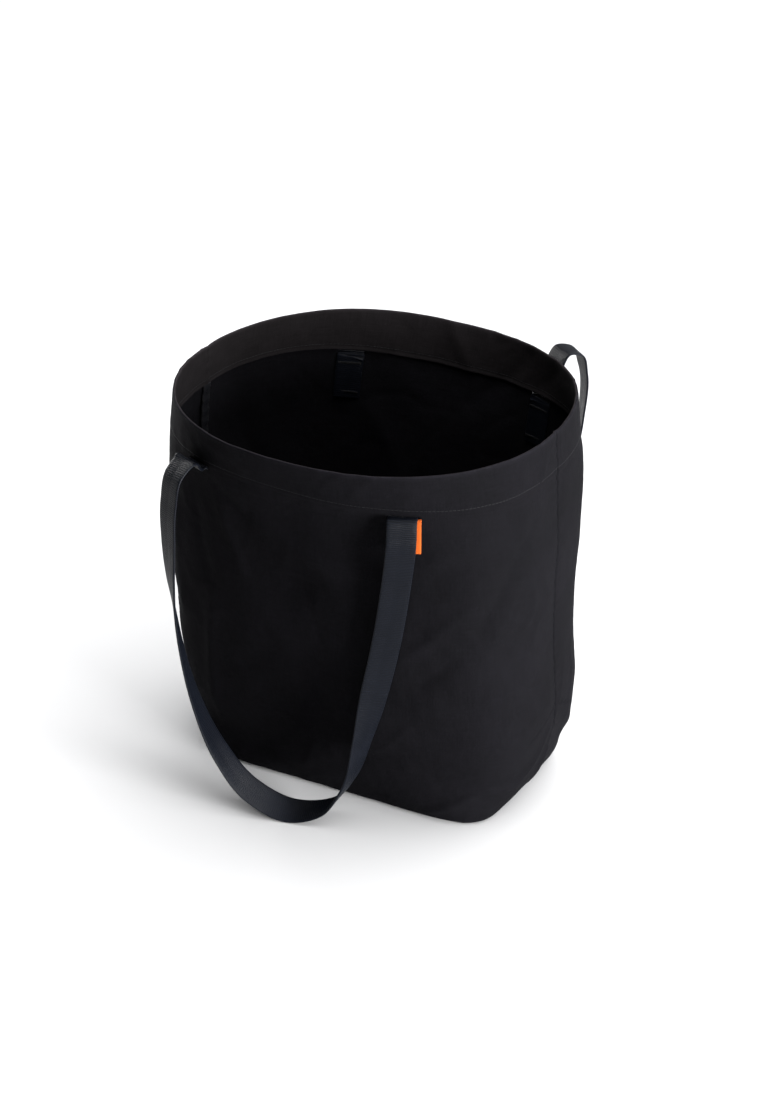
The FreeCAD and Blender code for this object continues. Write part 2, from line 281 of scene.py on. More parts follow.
def ripples(points, wavelength, count, seed):
    """An even, wavy unrest between about -1 and 1: the mean of sines whose waves run in random
    directions, times the root of their count. Wavelengths spread by a third to each side."""
    draw = np.random.default_rng(seed)
    total = np.zeros(points.shape[:-1])
    for _ in range(count):
        way = draw.normal(size=3)
        way /= np.linalg.norm(way)
        wave = 2 * math.pi / (wavelength * draw.uniform(0.67, 1.33))
        total += np.sin(points @ way * wave + draw.uniform(0, 2 * math.pi))
    return total / math.sqrt(count)


FOLD_LINES = [(along_wall(path), high, half_width) for path, high, half_width in FOLDS]


def corner_line(y):
    """The level of a corner seam: highest at the side seam, sloping down to its ends."""
    return CORNER_LEVEL + CORNER_RISE - CORNER_SLOPE * np.abs(y)


def relief(points):
    """How far the cloth stands out of its smooth form, in metres. It is the sum of:

    the folds, each a crest 1 / (1 + (distance / half width)^2)^1.5 that fades at its ends;
    slack ripples at three scales and a sharper crumple in patches;
    grooves along the side and corner seams, with puckers beside the side seams;
    the shallow channel that the hem's stitching pulls in, and a hollow under the band's foot.

    The folds, ripples and crumple die away where a sewn webbing end holds the cloth flat.
    """
    x, y, z = points[..., 0], points[..., 1], points[..., 2]
    out = np.zeros(x.shape)
    for path, high, half_width in FOLD_LINES:
        away, along = distance(points, path)
        fade = np.sqrt(np.clip(4 * along * (1 - along), 0, 1)) * 0.75 + 0.25
        out += FOLD_DEPTH * high * MM * fade / (1 + (away / (half_width * MM)) ** 2) ** 1.5
    calm = ease((HEIGHT - z) / (60 * MM)) * ease(z / (40 * MM)) * 0.75 + 0.25
    out += 1.1 * MM * calm * ripples(points, 0.15, 9, 1)
    out += 0.45 * MM * calm * ripples(points, 0.06, 14, 2)
    crumple = 1 - np.abs(ripples(points, 0.05, 10, 3))
    patches = ease(ripples(points, 0.12, 8, 4) * 0.8 + 0.3)
    out += 0.80 * MM * patches * np.clip(crumple, 0, 1) ** 3
    out += 0.10 * MM * ripples(points, 0.016, 16, 5)
    beside = (np.abs(x) - SLOT_REACH) / HELD_HALF_WIDTH
    below = (z - SLOT_LEVEL + HELD_DROP) / HELD_HALF_HEIGHT
    out *= 1 - np.exp(-(beside ** 4 + below ** 4)) * (np.abs(y) > HALF_DEPTH / 3)
    side = np.abs(x) > HALF_WIDTH / 2
    seam = np.exp(-(y / SEAM_HALF_WIDTH) ** 2) * side
    pull = np.exp(-(y / (7 * MM)) ** 2) * side
    out += MM * (-0.9 * seam + 0.35 * pull * np.sin(2 * math.pi * z / (11 * MM)) - 0.5 * pull)
    across = np.exp(-((z - corner_line(y)) / SEAM_HALF_WIDTH) ** 2)
    across *= ease((CORNER_REACH - np.abs(y)) / (8 * MM)) * side
    out -= 0.9 * MM * across
    hem = np.exp(-((z - HEM_LEVEL) / (1.3 * MM)) ** 2)
    out -= 0.06 * MM * hem
    edge = ease((BAND_FOOT + 1.5 * MM - z) / (3 * MM)) * ease((z - BAND_FOOT + 12 * MM) / (12 * MM))
    return out - 0.35 * MM * edge


def low_twist(points):
    """How far the cloth leans back on the right and forward on the left, near the floor."""
    return LOW_LEAN * points[..., 0] * ease(1 - points[..., 2] / LEAN_TOP)


def rim_wave(points):
    """How far the rim rises or dips: long ripples that fade out below the rim."""
    near_rim = ease((points[..., 2] - HEIGHT + RIM_SLACK) / RIM_SLACK)
    return 1.1 * MM * near_rim * ripples(points * np.array([1, 1, 0]), 0.16, 6, 6)


def wall(levels, outs, columns):
    """The cloth's surface: the smooth wall moved outwards by outs and by its relief."""
    levels, outs, columns = (np.atleast_1d(np.asarray(v, float)) for v in (levels, outs, columns))
    flat, normal = outline(np.clip(levels, 0, HEIGHT), columns)
    points = np.dstack([flat, np.broadcast_to(levels[:, None], flat.shape[:2])])
    normals = np.dstack([normal, np.zeros(flat.shape[:2])])
    raised = points + normals * (outs[:, None] + relief(points))[..., None]
    raised[..., 1] += low_twist(points)
    raised[..., 2] += rim_wave(points)
    return raised, normals


SLOT_LINE = outline(np.array([SLOT_LEVEL]), np.linspace(0, 1, 4001))[0][0]
SLOT_RUN = np.linalg.norm(np.diff(SLOT_LINE, axis=0), axis=1).sum()


def column_of(x, toward):
    """The column that crosses x at the slots' level, on the front (-1) or the back (1)."""
    column = np.interp(x, SLOT_LINE[:, 0], np.linspace(0, 1, len(SLOT_LINE)))
    return column if toward < 0 else 2 - column


# ---------------------------------------------------------------- meshes
def solid(name, points, quads, uv, caps=()):
    """A mesh object from points, four-sided faces, a place on the cloth for each point, and any
    end caps of more sides."""
    loops = np.concatenate([quads.ravel()] + [np.asarray(cap) for cap in caps])
    sizes = np.concatenate([np.full(len(quads), 4)] + [[len(cap)] for cap in caps]).astype(int)
    mesh = bpy.data.meshes.new(name)
    mesh.vertices.add(len(points))
    mesh.vertices.foreach_set("co", points.astype(np.float32).ravel())
    mesh.loops.add(len(loops))
    mesh.loops.foreach_set("vertex_index", loops.astype(np.int32))
    mesh.polygons.add(len(sizes))
    mesh.polygons.foreach_set("loop_start", (np.cumsum(sizes) - sizes).astype(np.int32))
    mesh.update(calc_edges=True)
    mesh.validate()
    layer = mesh.uv_layers.new(name="cloth")
    layer.data.foreach_set("uv", uv[loops].astype(np.float32).ravel())
    mesh.shade_smooth()
    piece = bpy.data.objects.new(name, mesh)
    bpy.context.scene.collection.objects.link(piece)
    return piece


def grid_faces(rows, columns, closed=False):
    """The four-sided faces of a grid of points, row by row; a closed grid joins its last column
    to its first."""
    index = np.arange(rows * columns).reshape(rows, columns)
    if closed:
        index = np.hstack([index, index[:, :1]])
    return np.stack([index[:-1, :-1], index[:-1, 1:], index[1:, 1:], index[1:, :-1]], -1)


def thicken(piece, thickness):
    """Gives a sheet its thickness, on the side away from its normals."""
    shell = piece.modifiers.new("thickness", "SOLIDIFY")
    shell.thickness = thickness
    shell.offset = -1
    shell.use_even_offset = False


def mark(piece, name, values):
    """Keeps one number for each point, which the finish reads."""
    piece.data.attributes.new(name, "FLOAT", "POINT").data.foreach_set(
        "value", values.astype(np.float32).ravel())


def ribbon(name, spine, across, width, thick, rib=0.0, pitch=1.0, stretches=9):
    """A flat band along a spine, square to it, with half-round edges and closed ends.

    Each section runs along the width on the upper side, half round the edge, back on the under
    side and half round the other edge. Ribs cross the band: the face rises and falls as the
    cosine of the length along it over the pitch, half a pitch later past the middle, where the
    two halves of the weave meet in a groove.
    """
    along = run_along(spine)
    tangent = np.gradient(spine, along, axis=0)
    tangent /= np.linalg.norm(tangent, axis=1, keepdims=True)
    wide = across - tangent * (across * tangent).sum(1, keepdims=True)
    wide /= np.linalg.norm(wide, axis=1, keepdims=True)
    up = np.cross(tangent, wide)
    flat_half = (width - thick) / 2
    run = np.linspace(-1, 1, stretches)
    bend = np.linspace(0, math.pi, 6)[1:-1]
    side = np.concatenate([run * flat_half, flat_half + np.sin(bend) * thick / 2,
                           -run * flat_half, -flat_half - np.sin(bend) * thick / 2])
    rise = np.concatenate([np.ones(stretches), np.cos(bend), -np.ones(stretches), -np.cos(bend)])
    phase = 2 * math.pi * along[:, None] / pitch + math.pi * (side > 0)
    groove = np.exp(-(side / (0.7 * MM)) ** 2)
    lift = rib * (0.5 + 0.5 * np.cos(phase) - 1) * (1 - groove) - rib * 1.6 * groove
    high = rise * (thick / 2 + lift * (np.abs(rise) > 0.3))
    points = spine[:, None] + wide[:, None] * side[:, None] + up[:, None] * high[..., None]
    count = len(side)
    quads = grid_faces(len(spine), count, closed=True).reshape(-1, 4)[:, ::-1]
    last = (len(spine) - 1) * count
    uv = np.stack(np.broadcast_arrays(side, along[:, None]), -1).reshape(-1, 2)
    return solid(name, points.reshape(-1, 3), quads, uv,
                 caps=(np.arange(count), last + np.arange(count)[::-1]))


def stitches(name, centres, along, up, length, radius):
    """Short threads, one at each centre: spindles of five six-sided rings with closed ends."""
    sides = 6
    places = np.array([-1, -0.8, 0, 0.8, 1]) * length / 2
    radii = np.array([0.35, 0.85, 1, 0.85, 0.35]) * radius
    turn = np.arange(sides) * 2 * math.pi / sides
    ring = np.stack([np.zeros(sides), np.cos(turn), np.sin(turn)], -1)
    one = ring[None] * radii[:, None, None] + np.array([1, 0, 0]) * places[:, None, None]
    one = one.reshape(-1, 3)
    across = np.cross(up, along)
    points = (centres[:, None] + along[:, None] * one[None, :, :1]
              + across[:, None] * one[None, :, 1:2] + up[:, None] * one[None, :, 2:3])
    quads = grid_faces(len(places), sides, closed=True).reshape(-1, 4)
    offsets = np.arange(len(centres)) * len(one)
    every = (quads[None] + offsets[:, None, None]).reshape(-1, 4)[:, ::-1]
    start, stop = np.arange(sides), np.arange(sides)[::-1] + len(one) - sides
    caps = [cap + offset for offset in offsets for cap in (start, stop)]
    uv = np.tile(one[:, :2], (len(centres), 1))
    return solid(name, points.reshape(-1, 3), every, uv, caps)


# ---------------------------------------------------------------- finishes
class Field:
    """A socket's value in a sum: each operator adds the Math node that works it out."""

    def __init__(self, finish, socket):
        self.finish, self.socket = finish, socket

    def math(self, operation, *values):
        return self.finish.node("ShaderNodeMath", {"operation": operation}, dict(enumerate(values)))

    def __add__(self, other):
        return self.math("ADD", self, other)

    def __sub__(self, other):
        return self.math("SUBTRACT", self, other)

    def __rsub__(self, other):
        return self.math("SUBTRACT", other, self)

    def __mul__(self, other):
        return self.math("MULTIPLY", self, other)

    def __abs__(self):
        return self.math("ABSOLUTE", self)

    def sine(self):
        return self.math("SINE", self)

    def within(self, low, high):
        """0 below low, 1 above high, and straight between them."""
        return self.finish.node("ShaderNodeMapRange", {}, {0: self, 1: low, 2: high})

    __radd__, __rmul__ = __add__, __mul__


class Finish:
    """A material's nodes. Constants go straight on the shader's sockets."""

    def __init__(self, name, constants):
        self.material = bpy.data.materials.new(name)
        self.material.use_nodes = True
        self.tree = self.material.node_tree
        self.shader = next(n for n in self.tree.nodes if n.type == "BSDF_PRINCIPLED")
        for socket, value in constants.items():
            self.shader.inputs[socket].default_value = value

    def node(self, kind, settings, inputs, output=0):
        """Adds a node, with its settings first and then its sockets' values or links."""
        new = self.tree.nodes.new(kind)
        for key, value in settings.items():
            setattr(new, key, value)
        for key, value in inputs.items():
            if isinstance(value, Field):
                self.tree.links.new(value.socket, new.inputs[key])
            else:
                new.inputs[key].default_value = value
        return Field(self, new.outputs[output])

    def place(self, output):
        return self.node("ShaderNodeTexCoord", {}, {}, output)

    def parts(self, vector):
        """A vector's three parts."""
        first = self.node("ShaderNodeSeparateXYZ", {}, {0: vector})
        return [Field(self, first.socket.node.outputs[i]) for i in range(3)]

    def noise(self, vector, scale, detail=3.0, rough=0.55):
        return self.node("ShaderNodeTexNoise", {},
                         {"Vector": vector, "Scale": scale, "Detail": detail, "Roughness": rough})

    def stretched(self, vector, scale):
        return self.node("ShaderNodeMapping", {}, {"Vector": vector, "Scale": scale})

    def mix(self, share, low, high):
        """A colour between two, by share."""
        return self.node("ShaderNodeMix", {"data_type": "RGBA"}, {0: share, 6: low, 7: high}, 2)

    def bump(self, height, distance):
        return self.node("ShaderNodeBump", {}, {"Height": height, "Distance": distance})

    def feed(self, socket, field):
        self.tree.links.new(field.socket, self.shader.inputs[socket])


def tint(red, green, blue):
    """A colour given as on screen, 0 to 255, in the linear values that a socket takes."""
    shares = np.array([red, green, blue]) / 255
    linear = np.where(shares <= 0.04045, shares / 12.92, ((shares + 0.055) / 1.055) ** 2.4)
    return (*linear, 1.0)


def plain_weave(u, v, pitch):
    """Threads over and under: sin(pi u / pitch) and sin(pi v / pitch) are the rounds of the two
    threads of a crossing, and the sign of their product says which one is on top."""
    one, two = (u * (math.pi / pitch)).sine(), (v * (math.pi / pitch)).sine()
    over = (one * two * 2.5).within(-1, 1)
    return abs(one) * over + abs(two) * (1 - over)


def canvas_finish(name, dark, light):
    """Dense matt canvas: plain weave, slubs along both threads, soft tone patches, faint crinkles,
    and a paler line where a folded edge has rubbed."""
    f = Finish(name, {"Specular IOR Level": 0.02, "Sheen Weight": 0.006, "Sheen Roughness": 0.5,
                      "Sheen Tint": tint(150, 152, 165)})
    cloth, body = f.place("UV"), f.place("Object")
    u, v, _ = f.parts(cloth)
    weave = plain_weave(u, v, 0.80 * MM)
    warp = f.noise(f.stretched(cloth, (900, 45, 1)), 1.0, 2.0)
    weft = f.noise(f.stretched(cloth, (45, 900, 1)), 1.0, 2.0)
    patches = f.noise(body, 11.0, 4.0)
    lint = f.noise(body, 420.0, 2.0).within(0.66, 0.80)
    rubbed = f.node("ShaderNodeAttribute", {"attribute_name": "rubbed"}, {}, "Fac")
    grain = f.noise(body, 160.0, 3.0)
    slubs = (warp + weft) * 0.5
    tone = weave * 0.22 + slubs * 0.55 + patches * 0.45 - 0.42 + lint * 0.25
    tone = tone + rubbed * (grain.within(0.35, 0.65) * 0.35 + 0.25)
    f.feed("Base Color", f.mix(tone.within(0, 1), dark, light))
    f.feed("Roughness", 0.96 - 0.16 * weave + 0.12 * (patches - 0.5))
    crinkle = f.noise(body, 75.0, 5.0, 0.6)
    height = weave * 0.10 + slubs * 0.10 + crinkle * 0.9
    f.feed("Normal", f.bump(height, 0.9 * MM))
    return f.material


def webbing_finish(name, dark, light, pitch):
    """Dense smooth webbing: fine yarns along its ribs, a soft sheen, and a paler, fluffed edge."""
    f = Finish(name, {"Specular IOR Level": 0.07, "Sheen Weight": 0.008, "Sheen Roughness": 0.4,
                      "Sheen Tint": tint(150, 170, 200)})
    cloth, body = f.place("UV"), f.place("Object")
    across, along, _ = f.parts(cloth)
    past_middle = across.math("GREATER_THAN", across, 0.0)
    phase = (along * (2 * math.pi / pitch)) + past_middle * math.pi + math.pi / 2
    ribs = phase.sine() * 0.5 + 0.5
    yarns = (across * (2 * math.pi / (0.55 * MM))).sine() * 0.5 + 0.5
    patches = f.noise(body, 40.0, 3.0)
    fibres = f.noise(f.stretched(cloth, (500, 1600, 1)), 1.0, 2.0)
    selvedge = abs(across).within(WEBBING * 0.46, WEBBING * 0.5)
    tone = ribs * 0.42 + yarns * ribs * 0.18 + fibres * 0.3 + patches * 0.3 - 0.32 + selvedge * 0.15
    f.feed("Base Color", f.mix(tone.within(0, 1), dark, light))
    f.feed("Roughness", 0.50 - 0.14 * ribs + 0.2 * (patches - 0.5))
    f.feed("Normal", f.bump(yarns * 0.25 + fibres * 0.45 + ribs * 0.2, 0.25 * MM))
    return f.material


def thread_finish(name, dark, light):
    """Twisted sewing thread."""
    f = Finish(name, {"Specular IOR Level": 0.2, "Sheen Weight": 0.03})
    body = f.place("Object")
    twist = f.noise(body, 2600.0, 1.0)
    f.feed("Base Color", f.mix(twist, dark, light))
    f.feed("Roughness", 0.55 + 0.2 * twist)
    f.feed("Normal", f.bump(twist, 0.12 * MM))
    return f.material


def tag_finish(name, dark, light):
    """Woven ribbon: close ribs across it."""
    f = Finish(name, {"Specular IOR Level": 0.12})
    cloth, body = f.place("UV"), f.place("Object")
    _, along, _ = f.parts(cloth)
    ribs = (along * (2 * math.pi / (0.7 * MM))).sine() * 0.5 + 0.5
    fibres = f.noise(f.stretched(cloth, (2200, 700, 1)), 1.0, 2.0)
    patches = f.noise(body, 60.0, 2.0)
    tone = ribs * 0.35 + fibres * 0.35 + patches * 0.4 - 0.15
    f.feed("Base Color", f.mix(tone.within(0, 1), dark, light))
    f.feed("Roughness", 0.75 - 0.2 * ribs)
    f.feed("Normal", f.bump(ribs * 0.6 + fibres * 0.4, 0.15 * MM))
    return f.material


CANVAS = canvas_finish("black_canvas", tint(6, 6, 7), tint(22, 21, 25))
# The band is the same canvas as the walls, painted lighter: painted light from above, where it
# falls on the inside of the mouth.
LIT_BAND_CANVAS = canvas_finish("black_band_canvas_painted_light", tint(13, 12, 12), tint(36, 33, 35))
RIB_PITCH = 1.9 * MM
STRAP = webbing_finish("navy_webbing", tint(4, 5, 8), tint(15, 18, 26), RIB_PITCH)
BINDING_PITCH = 1.2 * MM
BINDING = webbing_finish("black_binding", tint(9, 9, 11), tint(26, 26, 29), BINDING_PITCH)
THREAD = thread_finish("black_thread", tint(4, 4, 5), tint(15, 15, 18))
TAG = tag_finish("orange_ribbon", tint(132, 50, 8), tint(178, 88, 28))


def on_bag(piece, finish, slot, *nodes):
    """A piece of the bag's body: it rides on the standing shell."""
    piece.data.materials.append(finish)
    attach(piece, "shell")
    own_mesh(piece)
    if nodes:
        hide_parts(*nodes)


# ---------------------------------------------------------------- cloth pieces
SLOT_COLUMNS = {(face, side): column_of(sign * SLOT_REACH, toward)
                for face, toward in (("front", -1), ("back", 1))
                for side, sign in (("left", -1), ("right", 1))}


def panel_columns(first):
    """Columns of one panel, 2.8 mm apart and finer at the seams, with a column put exactly at each
    end of a slot.
    """
    length = PANEL_RUN
    half = SLOT_WIDE / 2 / SLOT_RUN
    middles = [c - first for c in SLOT_COLUMNS.values() if first <= c <= first + 1]
    ends = sorted(m + s * half for m in middles for s in (-1, 1))
    spots = [(0, 0.7 * MM, 12 * MM), (length, 0.7 * MM, 12 * MM)]
    places = graded(length, 2.8 * MM, spots) / length
    return first + with_marks(places, ends), [first + e for e in ends]


def wall_levels():
    """Levels of the walls, 2.8 mm apart and finer at the corner seams, the slots and the hem."""
    low, high = FOOT_ROUND, RIM_TURN
    spots = [(CORNER_LEVEL - low, 0.8 * MM, 12 * MM), (HEM_LEVEL - low, 0.7 * MM, 8 * MM),
             (SLOT_LEVEL - low, 1.0 * MM, 8 * MM)]
    places = low + graded(high - low, 2.8 * MM, spots)
    return with_marks(places, (SLOT_LEVEL - SLOT_TALL / 2, SLOT_LEVEL + SLOT_TALL / 2))


def upright_cloth(name, levels, columns, points, quads, low_edge):
    """A sheet of the walls or the band, rubbed pale along the rim and along its low edge."""
    uv = np.stack(np.broadcast_arrays(columns * PANEL_RUN, levels[:, None]), -1).reshape(-1, 2)
    piece = solid(name, points.reshape(-1, 3), quads, uv)
    rim = ease((levels - HEIGHT + RUBBED) / RUBBED)
    mark(piece, "rubbed", np.repeat(np.maximum(rim, low_edge), len(columns)))
    thicken(piece, CLOTH)
    return piece


def panel(name, first, *nodes):
    """One panel of canvas, from under the base's edge, up the wall, to the top of the rim's fold.

    Its profile is a quarter round under the foot, the wall, and a quarter round over the rim. The
    faces inside each slot are left out, so that the webbing passes through real openings.
    """
    foot = np.radians(np.linspace(90, 0, 7)[:-1])
    top = np.radians(np.linspace(0, 90, 5)[1:])
    levels = np.concatenate([FOOT_ROUND * (1 - np.sin(foot)), wall_levels(),
                             RIM_TURN + FOLD_ROUND * np.sin(top)])
    outs = np.concatenate([-FOOT_ROUND * (1 - np.cos(foot)), np.zeros(len(wall_levels())),
                           -FOLD_ROUND * (1 - np.cos(top))])
    columns, ends = panel_columns(first)
    points, _ = wall(levels, outs, columns)
    quads = grid_faces(len(levels), len(columns))
    row = (levels[:-1] + levels[1:]) / 2
    column = (columns[:-1] + columns[1:]) / 2
    slot_rows = np.abs(row - SLOT_LEVEL) < SLOT_TALL / 2
    slot_columns = np.zeros(len(column), bool)
    for low, high in zip(ends[::2], ends[1::2]):
        slot_columns |= (column > low) & (column < high)
    kept = quads[~(slot_rows[:, None] & slot_columns[None])]
    low_edge = ease((FOOT_ROUND * 1.3 - levels) / FOOT_ROUND) * 0.8
    piece = upright_cloth(name, levels, columns, points, kept, low_edge)
    on_bag(piece, CANVAS, "canvas", *nodes)


def base_half(name, first, *nodes):
    """Half of the base: each point lies on the straight line from the middle seam to the fold
    where the walls begin, whose points it shares."""
    columns, _ = panel_columns(first)
    edge, _ = wall([0.0], [-FOOT_ROUND], columns)
    edge = edge[0]
    share = (columns - first)[:, None]
    middle = edge[:1] * (1 - share) + edge[-1:] * share
    t = np.linspace(0, 1, 34)[:, None, None]
    points = middle + t * (edge - middle)
    seam = np.exp(-(points[..., 1] / (1.5 * MM)) ** 2)
    inner = ease(t[..., 0] * 6) * ease((1 - t[..., 0]) * 6)
    slack = np.maximum(0.1, 1.6 + ripples(points, 0.05, 9, 7))
    points[..., 2] = 0.5 * MM * seam + 0.3 * MM * inner * slack
    points[-1] = edge
    quads = grid_faces(len(t), len(columns)).reshape(-1, 4)
    piece = solid(name, points.reshape(-1, 3), quads, points[..., :2].reshape(-1, 2))
    thicken(piece, CLOTH)
    on_bag(piece, CANVAS, "canvas", *nodes)


def band(name, first, *nodes):
    """The turned-in band: from the top of the rim's fold, half round it and down inside to a free
    lower edge that stands a little off the wall."""
    turn = np.radians(np.linspace(90, 180, 6))
    hem = (RIM_TURN - HEM_LEVEL, 0.7 * MM, 6 * MM)
    down = RIM_TURN - graded(RIM_TURN - BAND_FOOT, 2.4 * MM, [hem])[1:]
    levels = np.concatenate([RIM_TURN + FOLD_ROUND * np.sin(turn), down])
    lift = 0.7 * MM * ease((BAND_FOOT + 4 * MM - down) / (4 * MM))
    outs = np.concatenate([-FOLD_ROUND * (1 - np.cos(turn)), -2 * FOLD_ROUND - lift])
    columns, _ = panel_columns(first)
    points, _ = wall(levels, outs, columns)
    quads = grid_faces(len(levels), len(columns)).reshape(-1, 4)
    low_edge = ease((BAND_FOOT + 1.2 * MM - levels) / (1.2 * MM)) * 0.7
    piece = upright_cloth(name, levels, columns, points, quads, low_edge)
    # The band takes the canvas painted lighter, as painted light from above inside the mouth.
    on_bag(piece, LIT_BAND_CANVAS, "facing_canvas", *nodes)


panel("front_canvas_panel", 0, "front_panel_lower", "front_panel_upper",
      "front_panel_left_wing", "front_panel_right_wing")
panel("back_canvas_panel", 1, "back_panel", "back_panel_left_wing", "back_panel_right_wing")
base_half("base_front_canvas", 0, "base_front")
base_half("base_rear_canvas", 1, "base_rear")
band("front_rim_band", 0, "front_facing", "left_facing", "right_facing")
band("back_rim_band", 1, "back_facing")


# ---------------------------------------------------------------- stitching
def level_seam(name, level, out, length, pitch):
    """A row of stitches right round the bag at one level; up is the wall's outward normal."""
    dense = np.linspace(0, 2, 2401)
    points, normals = wall([level], [out], dense)
    points, normals = points[0], normals[0]
    run = run_along(points)
    at = (np.arange(int(run[-1] / pitch)) + 0.5) * pitch
    centres, up, along = (read_off(at, run, v) for v in (points, normals, directions(points)))
    on_bag(stitches(name, centres, along, up, length, 0.20 * MM), THREAD, "thread")


for name, out in (("hem_stitching", -0.04 * MM),
                  ("hem_stitching_inside", -2 * FOLD_ROUND - 0.12 * MM)):
    level_seam(name, HEM_LEVEL, out, 2.7 * MM, 3.4 * MM)


# ---------------------------------------------------------------- binding tapes inside
def side_tape(side, column):
    """Tape over a side seam, from above the corner seam up to the band."""
    levels = np.linspace(CORNER_LEVEL + 7 * MM, TAPE_TOP, 160)
    spine, normals = wall(levels, np.full(len(levels), -CLOTH - 0.7 * MM), [column])
    spine, normals = spine[:, 0], normals[:, 0]
    across = np.cross(np.tile(UP, (len(levels), 1)), normals)
    piece = ribbon(f"{side}_seam_binding", spine, -across, *TAPE, BINDING_PITCH)
    on_bag(piece, BINDING, "seam_tape", f"{side}_seam_tape")
    rows = []
    for shift in (-4.6, 4.6):
        at = np.arange(levels[0] + 2 * MM, levels[-1], 3.2 * MM)
        middle, normal = wall(at, np.full(len(at), -CLOTH - 1.3 * MM), [column])
        middle, normal = middle[:, 0], normal[:, 0]
        rows.append((middle + np.cross(UP, normal) * shift * MM, normal))
    centres, up = (np.concatenate(v) for v in zip(*rows))
    along = np.tile(UP, (len(centres), 1))
    on_bag(stitches(f"{side}_seam_binding_stitching", centres, along, up, 2.4 * MM, 0.28 * MM),
           THREAD, "thread")


def corner_tape(side, column):
    """Tape over the short seam across a boxed corner."""
    reach = CORNER_REACH / PANEL_RUN
    columns = column + np.linspace(-reach, reach, 90)
    columns = np.where(columns < 0, columns + 2, columns)
    spine, _ = wall([CORNER_LEVEL - 1 * MM], [-CLOTH - 0.8 * MM], columns)
    across = np.tile(UP, (len(columns), 1))
    piece = ribbon(f"{side}_corner_binding", spine[0], across, *TAPE, BINDING_PITCH)
    on_bag(piece, BINDING, "seam_tape", f"{side}_corner_tape")


def base_tape():
    """Tape over the base's middle seam, lying on the base with a little slack."""
    low, high = BASE_TAPE
    spine = np.linspace((low.x, 0, 0), (high.x, 0, 0), 300)
    spine[:, 1] = low_twist(spine)
    spine[:, 2] = 2.4 * MM + 0.3 * MM * ripples(spine, 0.06, 6, 8)
    across = np.tile([0.0, 1, 0], (len(spine), 1))
    piece = ribbon("base_seam_binding", spine, across, *TAPE, BINDING_PITCH)
    on_bag(piece, BINDING, "seam_tape", "base_seam_tape")


for side, column in (("left", 0.0), ("right", 1.0)):
    side_tape(side, column)
    corner_tape(side, column)
base_tape()


# ---------------------------------------------------------------- handle ends inside
def slot_place(face, side, out=0.0):
    """The middle of a slot and the wall's outward normal there."""
    points, normals = wall([SLOT_LEVEL], [out], [SLOT_COLUMNS[face, side]])
    return points[0, 0], normals[0, 0]


def tail(face, side):
    """The end of the webbing inside: through the slot, over and down the wall, sewn flat."""
    column = SLOT_COLUMNS[face, side]
    inner = -CLOTH - WEBBING_THICK / 2 - 0.2 * MM
    middle, normal = slot_place(face, side)
    levels = np.linspace(SLOT_LEVEL - 4 * MM, SLOT_LEVEL - TAIL_DROP, 60)
    down, _ = wall(levels, np.full(len(levels), inner), [column])
    turn = np.radians(np.linspace(90, 0, 8))
    bend = 3.2 * MM
    mouth = middle + normal * (inner + bend)
    into = np.linspace(middle + normal * 1.0 * MM, mouth, 6)
    curve = mouth[None] + np.outer(np.cos(turn), -normal) * bend
    curve = curve + np.outer(1 - np.sin(turn), [0, 0, -bend])
    spine = np.concatenate([into[:-1], curve, down[:, 0]])
    across = np.tile(np.cross(UP, normal), (len(spine), 1))
    spine, across = resampled(spine, across, RIB_PITCH / 4)
    piece = ribbon(f"{face}_handle_{side}_end", spine, across, WEBBING, WEBBING_THICK,
                   STRAP_RIB, RIB_PITCH)
    on_bag(piece, STRAP, "webbing", f"{face}_handle_{side}_tail")


def bartacks(face):
    """Close rows of thread across each handle end inside: each bar is satin of short upright
    stitches side by side."""
    out = -CLOTH - WEBBING_THICK - 0.25 * MM
    centres, ups = [], []
    for side in ("left", "right"):
        columns = SLOT_COLUMNS[face, side] + np.linspace(-10 * MM, 10 * MM, 42) / PANEL_RUN
        for drop in (9, 36):
            points, normals = wall([SLOT_LEVEL - drop * MM], [out], columns)
            centres.append(points[0])
            ups.append(normals[0])
    centres, up = np.concatenate(centres), np.concatenate(ups)
    along = np.tile(UP, (len(centres), 1))
    piece = stitches(f"{face}_bar_stitches", centres, along, up, 2.2 * MM, 0.34 * MM)
    on_bag(piece, THREAD, "thread", f"{face}_bartacks")


for face in ("front", "back"):
    for side in ("left", "right"):
        tail(face, side)
    bartacks(face)


# ---------------------------------------------------------------- tag
def tag():
    """A ribbon folded double, its fold hanging down, both ends caught in the slot beside the
    webbing."""
    middle, normal = slot_place("front", "right")
    aside = np.cross(UP, normal)
    aside = aside * np.sign(aside[0])
    wide, fold, tall = 11 * MM, 0.75 * MM, 31 * MM
    centre = middle + aside * (WEBBING / 2 + 2.8 * MM - wide / 2) + np.array([0, 0, -1.0 * MM])
    turn = np.radians(np.linspace(0, 180, 9))
    arc = np.stack([np.cos(turn) * fold, -np.sin(turn) * fold], -1) + [2.0 * MM, -tall + 1.5 * MM]
    outer = [(-1.5 * MM, 0.0), (1.2 * MM, -0.2 * MM), (2.6 * MM, -2.0 * MM), (2.9 * MM, -6 * MM)]
    inner = [(1.2 * MM, -6 * MM), (1.0 * MM, -3 * MM), (0.4 * MM, -1.4 * MM),
             (-1.5 * MM, -1.2 * MM)]
    profile = np.array(outer + [tuple(p) for p in arc] + inner)
    knots = run_along(profile)
    profile = flow(np.linspace(0, knots[-1], 240), knots, profile)
    spine = centre + profile[:, :1] * normal + profile[:, 1:] * UP
    across = np.tile(aside, (len(spine), 1))
    piece = ribbon("orange_side_tag", spine, across, wide, 0.5 * MM)
    on_bag(piece, TAG, "tag_fabric", "tag_loop")


tag()


